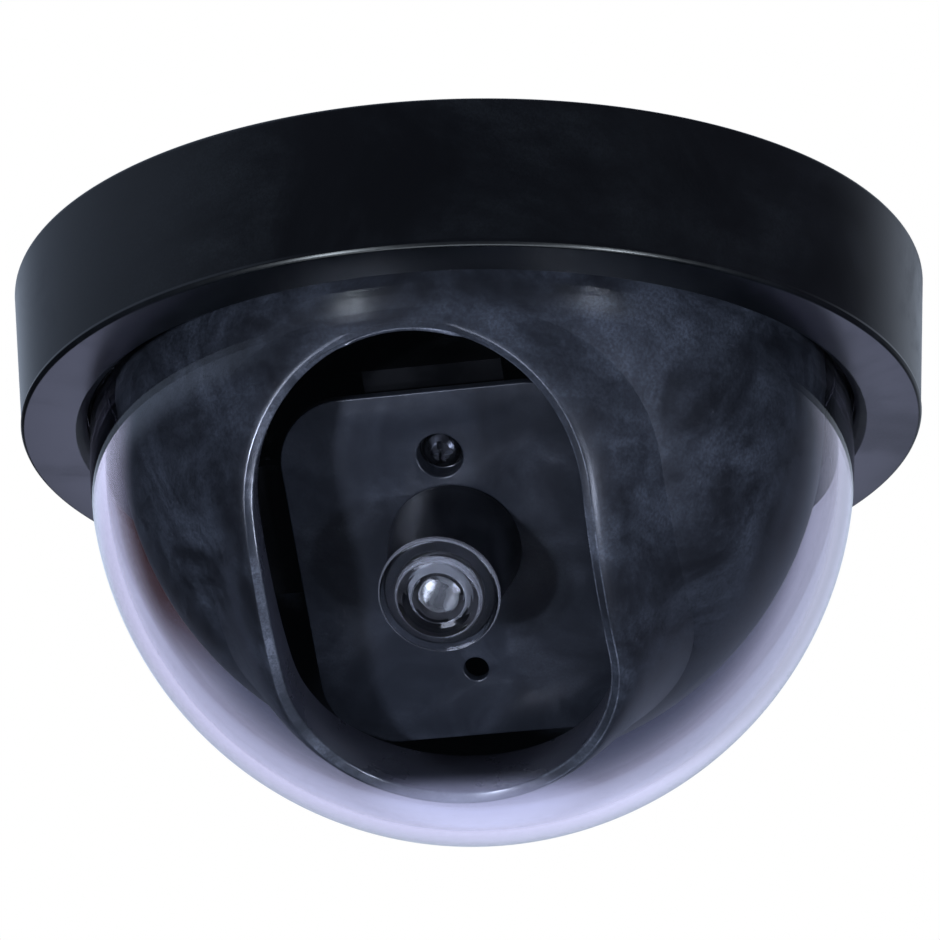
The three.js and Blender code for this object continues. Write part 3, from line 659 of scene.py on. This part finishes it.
def make_world():
    """White where it is looked at, the backdrop straight through the dome, and the room in reflections."""
    world = bpy.data.worlds.new("studio")
    bpy.context.scene.world = world
    world.use_nodes = True
    tree = world.node_tree
    sky = Nodes(tree, tree.nodes.new("ShaderNodeTexCoord").outputs["Generated"])
    path = sky.new("LightPath")
    room = with_glints(sky, path, with_rim(sky, path, glowing_room(sky)))
    bounces = sky.maths("ADD", path.outputs["Glossy Depth"], path.outputs["Diffuse Depth"])
    seen = sky.mixed(sky.maths("LESS_THAN", bounces, 0.5), room, backdrop(sky))
    colour = sky.mixed(path.outputs["Is Camera Ray"], seen, (1.0, 1.0, 1.0))
    sky.link(colour, tree.nodes["Background"].inputs["Color"])


def make_stage():
    """A pale floor, far enough below that only the camera needs to see it."""
    depth, thick, radius = 700, 2, 4000
    low = -depth - thick
    floor = lathe("floor", [(0, low), (radius, low), (radius, -depth), (0, -depth)], 96)
    surface = Surface("pale_floor")
    tone = surface.between(surface.noise(3, 3), 0.3, 0.7)
    colour = surface.mixed(tone, (0.80, 0.80, 0.82), (0.84, 0.84, 0.86))
    surface.link(colour, surface.shader.inputs["Base Color"])
    surface.set(Roughness=0.7)
    floor.data.materials.append(surface.material)
    floor.visible_glossy = False
    floor.visible_diffuse = False
    floor.visible_transmission = False
    bpy.context.scene.view_settings.view_transform = "Standard"


def share_lights(general, ring_only, ring, dome):
    """Gives the ring its own lights, and keeps all off the clear dome, which would show each as a spot."""
    for lights, pieces, state in ((general, (ring, dome), "EXCLUDE"), (ring_only, (ring,), "INCLUDE")):
        chosen = bpy.data.collections.new("light_share")
        for piece in pieces:
            chosen.objects.link(piece)
        for entry in chosen.collection_objects:
            entry.light_linking.link_state = state
        for light in lights:
            light.light_linking.receiver_collection = chosen


make_camera()
make_world()
make_stage()
key_lights = [make_softbox(*row) for row in KEY_LIGHTS]
ring_lights = [make_softbox(*row) for row in RING_LIGHTS]


# ---------------------------------------------------------------- base plate
def groove(middle):
    """A moulded line on the ceiling side, as profile corners from the outside in."""
    half, floor, depth = 0.7, 0.4, 0.4
    return [
        (middle + half, 0, 0.15), (middle + floor, -depth, 0.1), (middle - floor, -depth, 0.1),
        (middle - half, 0, 0.15),
    ]


def slot_outline(half_width, half_length):
    corners = [(1, -1), (1, 1), (-1, 1), (-1, -1)]
    return rounded([(x * half_width, y * half_length, half_width) for x, y in corners], steps=12)


def make_base_plate():
    depth = BASE_LOW.z
    skirt_inner = BASE_RIM - BASE_SKIRT_WALL
    profile = rounded([
        (BASE_BOSS, depth, 0.3), (BASE_BOSS, BASE_UNDERSIDE, 0.5), (skirt_inner, BASE_UNDERSIDE, 0.6),
        (skirt_inner, BASE_SKIRT_FOOT, 0.3), (BASE_RIM, BASE_SKIRT_FOOT, 0.3), (BASE_RIM, 0, 0.6),
        *groove(BASE_GROOVES[0]), *groove(BASE_GROOVES[1]),
    ])
    plate = lathe("base_disc", [(0, depth), *profile, (0, 0)], 256)
    below = BASE_UNDERSIDE - 1
    slots = []
    for side in (-1, 1):
        place = Matrix.Translation((side * SCREW_SLOT_X, 0, 0))
        slots.append(prism("slot", slot_outline(2.1, 4.5), below, 1, place))
        slots.append(prism("slot_step", slot_outline(3.3, 5.7), -0.5, 1, place))
    marks = []
    for i in range(6):
        spot = Matrix.Rotation(math.pi / 3 * (i + 0.5), 4, "Z") @ Matrix.Translation((33, 0, 0))
        marks.append(rod("ejector_mark", 2.5, -0.15, 1, spot, 40))
    pilot = rod("pilot", 1.5, depth - 1, below)
    cut(plate, [*slots, *marks, pilot])
    lugs = []
    for angle in LUG_ANGLES:
        inner = BASE_RIM - 0.6
        lugs.append(bent_block(inner, LUG_RADIUS, BASE_SKIRT_FOOT, LUG_TOP, angle - 7, angle + 7))
        lugs.append(bent_block(inner, LUG_RADIUS, BASE_SKIRT_FOOT, LUG_STOP_TOP, angle - 10, angle - 6.9))
    piece = merge("base_plate_moulding", [smooth(plate), *lugs])
    settle(piece, "base", "moulded_black", moulded_black, "base_plate")


def bent_block(inner, outer, low, high, start, end, steps=8):
    """A block bent round Z between two angles in degrees."""
    angles = [math.radians(start + (end - start) * i / steps) for i in range(steps + 1)]
    outline = [(outer * math.cos(a), outer * math.sin(a)) for a in angles]
    outline += [(inner * math.cos(a), inner * math.sin(a)) for a in reversed(angles)]
    block = prism("bent_block", outline, low, high)
    return bevel(block, 0.15, 2)


# ---------------------------------------------------------------- cover: ring and dome
def make_ring():
    low = RING_LOW.z
    foot = RING_RADIUS - RING_TAPER
    profile = rounded([
        (RING_INNER, RING_HIGH.z, 0.3), (RING_RADIUS, RING_HIGH.z, 0.7), (foot, low + 0.95, 0.5),
        (foot + 0.10, low + 0.55, 0.25), (foot - 0.15, low, 0.45), (RING_LIP, low, 0.3),
        (RING_MOUTH + 0.6, low + 0.7, 0.2), (RING_MOUTH, RING_LEDGE - 0.5, 0.2),
        (RING_MOUTH, RING_LEDGE, 0.1), (RING_INNER, RING_LEDGE, 0.6),
    ])
    shell = lathe("ring_shell", profile, 320)
    hooks = [
        bent_block(HOOK_INNER, RING_INNER + 0.8, HOOK_LOW, LUG_STOP_TOP, angle - 6.4, angle + 5.6)
        for angle in LUG_ANGLES
    ]
    posts = []
    post_foot, post_top = RING_LEDGE - 0.5, -15
    post = rounded([(1.2, post_foot, 0), (1.8, post_foot, 0), (1.8, post_top, 0.2), (1.2, post_top, 0.2)])
    for angle in (45, 135, 225, 315):
        spot = Matrix.Rotation(math.radians(angle), 4, "Z") @ Matrix.Translation((POST_RADIUS, 0, 0))
        posts.append(lathe("post", post, 40, spot))
    piece = merge("cover_ring", [shell, *hooks, *posts])
    return settle(piece, "cover", "ring_gloss_black", ring_black, "outer_ring")


def make_dome():
    z = DOME_CENTRE.z
    inner = DOME_RADIUS - DOME_WALL
    high = DOME_HIGH.z
    low = high - DOME_FLANGE_THICK
    flange = rounded([
        (DOME_RADIUS, z + 1, 0), (DOME_RADIUS, low, 0.5), (DOME_HIGH.x, low, 0.2), (DOME_HIGH.x, high, 0.2),
        (inner, high, 0.5), (inner, z + 1, 0),
    ])
    profile = [*arc(DOME_RADIUS, z, -90, 0, 72), *flange, *arc(inner, z, 0, -90, 72)]
    piece = lathe("dome_shell", profile, 256)
    return settle(piece, "cover", "clear_dome", clear_acrylic, "clear_dome")


# ---------------------------------------------------------------- liner with its hooded window
def window_outline(grow, steps=24):
    """The window's (x, y) stations in the head's frame, each with its outward direction."""
    radius = WINDOW_HALF_WIDTH + grow
    straight = WINDOW_HALF_LENGTH - WINDOW_HALF_WIDTH
    stations = []
    for centre, start in ((straight, 0), (-straight, 180)):
        for i in range(steps * 2 + 1):
            angle = math.radians(start + 180 * i / (steps * 2))
            way = Vector((math.cos(angle), math.sin(angle)))
            stations.append((Vector((0, centre)) + way * radius, way))
        side = -1 if start == 0 else 1
        for i in range(1, 12):
            y = centre * (1 - 2 * i / 12)
            stations.append((Vector((side * radius, y)), Vector((side, 0))))
    return stations


def depth_on_sphere(spot, radius, centre):
    """How far out along the head's Z a sphere lies at an (x, y) spot of the head's frame."""
    middle = HEAD.inverted() @ centre
    reach = radius ** 2 - (spot.x - middle.x) ** 2 - (spot.y - middle.y) ** 2
    return middle.z + math.sqrt(max(reach, 0.0))


def hood_section(spot, way):
    """One section through the hood: (outward offset, depth) points.

    Two round edges with a narrow flat between them make the lip. Outside it the hood sinks smoothly into the
    liner, and its foot ends under the liner's surface, so that no edge shows.
    """
    lip = depth_on_sphere(spot + way * HOOD_WALL, HOOD_RADIUS, DOME_CENTRE)
    inner_foot = depth_on_sphere(spot, LINER_RADIUS - LINER_WALL, LINER_CENTRE)
    liner_at_lip = depth_on_sphere(spot + way * HOOD_WALL, LINER_RADIUS, LINER_CENTRE)
    height = max(lip - 0.1 - liner_at_lip, 0.0)
    flare = HOOD_FLARE_END + (HOOD_FLARE_SIDE - HOOD_FLARE_END) * way.x ** 2
    section = [(0.15, inner_foot), (0.0, inner_foot + 0.2)]
    section += rounded([
        (0.0, inner_foot + 0.4, 0), (0.0, lip - HOOD_BEVEL, 0.3), (HOOD_WALL - 0.2, lip - 0.02, 0.25),
        (HOOD_WALL, lip - 0.1, 0),
    ], closed=False, steps=4)[1:-1]
    for i in range(FLARE_STEPS + 1):
        share = i / FLARE_STEPS
        offset = HOOD_WALL + flare * share
        foot = depth_on_sphere(spot + way * offset, LINER_RADIUS, LINER_CENTRE)
        rise = height * (1 - share ** 2 * (3 - 2 * share))
        section.append((offset, foot + 0.03 - 0.35 * share ** 3 + rise))
    section.append((HOOD_WALL + flare, foot - 0.5))
    section.append((0.6, inner_foot + 0.1))
    return section


def make_hood():
    points, faces = [], []
    stations = window_outline(0)
    for spot, way in stations:
        for offset, depth in hood_section(spot, way):
            place = spot + way * offset
            points.append((place.x, place.y, depth))
    around, across = len(stations), len(points) // len(stations)
    for i in range(around):
        for k in range(across):
            a, b = i * across, (i + 1) % around * across
            n = (k + 1) % across
            faces.append([a + k, a + n, b + n, b + k])
    hood = smooth(mesh_piece("hood", points, faces, HEAD), 50)
    settle(hood, "turntable", "liner_satin_black", liner_black, "liner")
    hood.data.materials.append(lip_highlight_paint)
    # The inner wall takes the lighter bluish black, a painted reflection.
    hood.data.materials.append(inner_painted_reflection)
    for face in hood.data.polygons:
        station, k = divmod(face.index, across)
        # The lip's faces take the painted highlight; the flat between its edges takes it everywhere but on the
        # right side.
        highlit_lip_face = k in HOOD_LIP_FACES and (k != HOOD_FLAT_FACE or stations[station][1].x < 0.3)
        if highlit_lip_face:
            face.material_index = 1
        elif k < HOOD_LIP_FACES[0]:
            face.material_index = 2


def make_liner():
    z = LINER_CENTRE.z
    inner = LINER_RADIUS - LINER_WALL
    high = LINER_HIGH.z
    profile = [
        *arc(LINER_RADIUS, z, -90, 0, 60), (LINER_RADIUS, z + 3), (LINER_RADIUS, high - 0.2),
        (LINER_RADIUS - 0.2, high), (inner + 0.2, high), (inner, high - 0.2), (inner, z + 3),
        *arc(inner, z, 0, -90, 60),
    ]
    shell = lathe("liner_shell", profile, 240)
    outline = [tuple(spot) for spot, _ in window_outline(HOOD_WALL / 2)]
    window = prism("window", outline, 12, 60, HEAD)
    knob_slot = slab("knob_slot", (-1.9, 40, -16.2), (4.2, 50, -12.8))
    cut(shell, [window, knob_slot])
    tabs = []
    boss = rounded([
        (1.4, LINER_BOSS_FOOT, 0.1), (2.4, LINER_BOSS_FOOT, 0.3), (2.4, high - 0.3, 0), (1.4, high - 0.3, 0),
    ])
    for angle in LINER_TAB_ANGLES:
        tabs.append(bent_block(40.5, inner + 0.6, high - 1.6, high, angle - 9, angle + 9))
        spot = Matrix.Rotation(math.radians(angle), 4, "Z") @ Matrix.Translation((LINER_BOSS_RADIUS, 0, 0))
        tabs.append(lathe("boss", boss, 32, spot))
    piece = merge("hooded_liner", [smooth(shell, 40), *tabs])
    settle(piece, "turntable", "liner_satin_black", liner_black, "liner")
    make_hood()


# ---------------------------------------------------------------- lens head
def make_face_plate():
    side, corner = PLATE_HALF_WIDTH, PLATE_CORNER
    outline = rounded([
        (-side, PLATE_BOTTOM, corner), (side, PLATE_BOTTOM, corner), (side, PLATE_TOP, corner),
        (-side, PLATE_TOP, corner),
    ], steps=20)
    plate = prism("plate", outline, PLATE_BACK, PLATE_FRONT, HEAD)
    screw_spot = HEAD @ Matrix.Translation((0, SCREW_Y, 0))
    low, high = 10, 30     # well clear of the plate
    holes = [
        rod("recess", RECESS_RADIUS, low, high, screw_spot, 64),
        rod("small_hole", 1.6, low, high, HEAD @ Matrix.Translation((0, HOLE_Y, 0)), 48),
        rod("spigot_hole", SPIGOT_RADIUS + 0.3, low, high, LENS_AXIS, 64),
    ]
    cut(plate, holes)
    bevel(plate, 0.3, 3, 50)
    top, outer = PLATE_BACK + 0.4, RECESS_RADIUS + 0.75
    cup = lathe("cup", rounded([
        (1.4, RECESS_FLOOR - 0.8, 0.1), (outer, RECESS_FLOOR - 0.8, 0.3), (outer, top, 0),
        (RECESS_RADIUS, top, 0), (RECESS_RADIUS, RECESS_FLOOR, 0.25), (1.4, RECESS_FLOOR, 0.1),
    ]), 64, screw_spot)
    piece = merge("front_plate", [plate, cup])
    settle(piece, "lens_head", "plate_gloss_black", plate_black, "face_plate")


def make_screw(name, head_radius, head_height, shaft_radius, head, tip, matrix):
    """A pan-head cross-recess screw along Z, from its tip to the top of its head."""
    end = head + head_height
    profile = rounded([
        (0, tip, 0), (shaft_radius * 0.6, tip, 0), (shaft_radius, tip + 0.8, 0), (shaft_radius, head, 0),
        (head_radius, head, 0.1), (head_radius, head + head_height * 0.45, 0.5 * head_height),
        (head_radius * 0.5, end, 0.3 * head_height), (0, end, 0),
    ], closed=False)
    screw = lathe(name, profile, 48, matrix)
    wide, narrow = head_radius * 0.58, head_radius * 0.15
    floor, top = end - head_height * 0.7, end + 1
    arms = [
        slab("arm", (-wide, -narrow, floor), (wide, narrow, top), matrix),
        slab("arm", (-narrow, -wide, floor), (narrow, wide, top), matrix),
    ]
    return smooth(cut(screw, arms))


def frost_walls(piece, matrix, material):
    """Gives the faces that stand along an axis a second material: a clear moulding's walls are duller."""
    axis = (matrix.to_3x3() @ Vector((0, 0, 1))).normalized()
    piece.data.materials.append(material)
    for face in piece.data.polygons:
        if abs(face.normal.dot(axis)) < 0.75:
            face.material_index = 1


def make_barrel():
    profile = rounded([
        (SPIGOT_BORE, SPIGOT_BACK, 0.1), (SPIGOT_RADIUS, SPIGOT_BACK, 0.2), (SPIGOT_RADIUS, BARREL_FOOT, 0),
        (BARREL_FOOT_RADIUS, BARREL_FOOT, 0.1), (BARREL_FOOT_RADIUS - 0.15, BARREL_FOOT + 0.9, 0.4),
        (BARREL_TOP_RADIUS, BARREL_TOP, 0.35), (BARREL_BORE, BARREL_TOP, 0.2), (BARREL_BORE, LED_SHELF, 0.1),
        (SPIGOT_BORE, LED_SHELF, 0.1),
    ])
    barrel = lathe("lens_tube", profile, 128, LENS_AXIS)
    settle(barrel, "lens_head", "plate_gloss_black", barrel_black, "lens_barrel")


def make_cap():
    """A clear cap with a flat flange, a raised ring and a domed middle, hollow behind."""
    profile = rounded([
        (0, CAP_HOLLOW, 0), (2.5, CAP_HOLLOW - 0.05, 1.0), (3.6, CAP_HOLLOW - 0.75, 0.5),
        (4.1, CAP_BACK, 0.15), (CAP_RADIUS, CAP_BACK, 0.25), (CAP_RADIUS, CAP_FACE, 0.5),
        (5.5, CAP_FACE - 0.1, 0.35), (5.2, CAP_TOP - 0.8, 0.4), (4.4, CAP_TOP - 0.6, 0.3),
        (3.9, CAP_TOP - 0.65, 0.15), (3.6, CAP_TOP - 0.75, 0.2),
    ], closed=False, steps=5)
    profile += arc(CAP_DOME, CAP_TOP - CAP_DOME, 59, 90, 16)
    cap = lathe("stepped_lens", profile, 160, LENS_AXIS)
    settle(cap, "lens_head", "clear_lens", clear_styrene, "lens_cap")
    frost_walls(cap, LENS_AXIS, frosted_styrene)


def make_led():
    """A clear bulb with a flange, over two legs and a reflector cup."""
    flange = LED_BACK + 1
    bulb = lathe("led_bulb", rounded([
        (0, LED_BACK, 0), (2.9, LED_BACK, 0.2), (2.9, flange, 0.2), (LED_RADIUS, flange + 0.1, 0.1),
        (LED_RADIUS, LED_TIP - 2.3, 1.4), (1.9, LED_TIP - 0.5, 1.6), (0, LED_TIP, 0),
    ], closed=False), 64, LENS_AXIS)
    settle(bulb, "lens_head", "led_lens", led_epoxy)
    foot = LED_TIP - 4.4
    legs = [slab("leg", (x - 0.3, -0.3, 13.5), (x + 0.3, 0.3, foot), LENS_AXIS) for x in (-1.27, 1.27)]
    cup = lathe("cup", rounded([
        (0, foot, 0), (1.2, foot, 0.1), (1.8, foot + 1.8, 0), (1.6, foot + 1.8, 0), (0.7, foot + 0.6, 0),
        (0, foot + 0.6, 0),
    ], closed=False), 32, LENS_AXIS)
    settle(merge("led_leads", [*legs, cup]), "lens_head", "spring_steel", spring_steel, "led")


def make_plate_screw():
    spot = HEAD @ Matrix.Translation((0, SCREW_Y, 0))
    screw = make_screw("recessed_screw", 2.5, 1.4, 1.1, RECESS_FLOOR + 0.3, 12.0, spot)
    settle(screw, "lens_head", "screw_black", screw_black, "plate_screw")


# ---------------------------------------------------------------- CAD nodes that keep their shape
NODE_MATERIALS = {
    "moulded_black": moulded_black, "nylon": nylon, "seal_foam": seal_foam, "cell_sleeve": cell_sleeve,
    "circuit_board": circuit_board, "resistor_body": resistor_body,
    "wire_red": wire_red, "wire_black": wire_black,
    "screw_steel": screw_steel, "screw_black": screw_black, "spring_steel": spring_steel,
    "ring_gloss_black": ring_black, "liner_satin_black": liner_black, "plate_gloss_black": plate_black,
    "clear_dome": clear_acrylic, "clear_lens": clear_styrene, "led_lens": led_epoxy,
}


def finish_cad_nodes():
    slots = {part["node"]: part["material_slot"] for part in frame["record"]["subparts"]}
    for name, node in frame["nodes"].items():
        node.data.materials.clear()
        # The head's bracket takes the painted-shade black instead of its slot's material.
        node.data.materials.append(bracket_shaded_black if name == "head_bracket" else NODE_MATERIALS[slots[name]])
        if not node.hide_render and slots[name] in ("moulded_black", "nylon", "circuit_board"):
            bevel(node, 0.12, 2, 40, apply=False)


def wire_across_tilt(name, material):
    """A smooth copy of a wire that crosses the head's tilt, baked where it lies."""
    node = frame["nodes"][name]
    piece = new_object(name + "_lead", node.data.copy())
    piece.data.materials.clear()
    piece.data.materials.append(material)
    smooth(piece, 80)
    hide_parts(name)
    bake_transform(piece)


make_base_plate()
ring = make_ring()
dome = make_dome()
share_lights(key_lights, ring_lights, ring, dome)
make_liner()
make_face_plate()
make_barrel()
make_cap()
make_led()
make_plate_screw()
finish_cad_nodes()
wire_across_tilt("wire_red", wire_red)
wire_across_tilt("wire_black", wire_black)
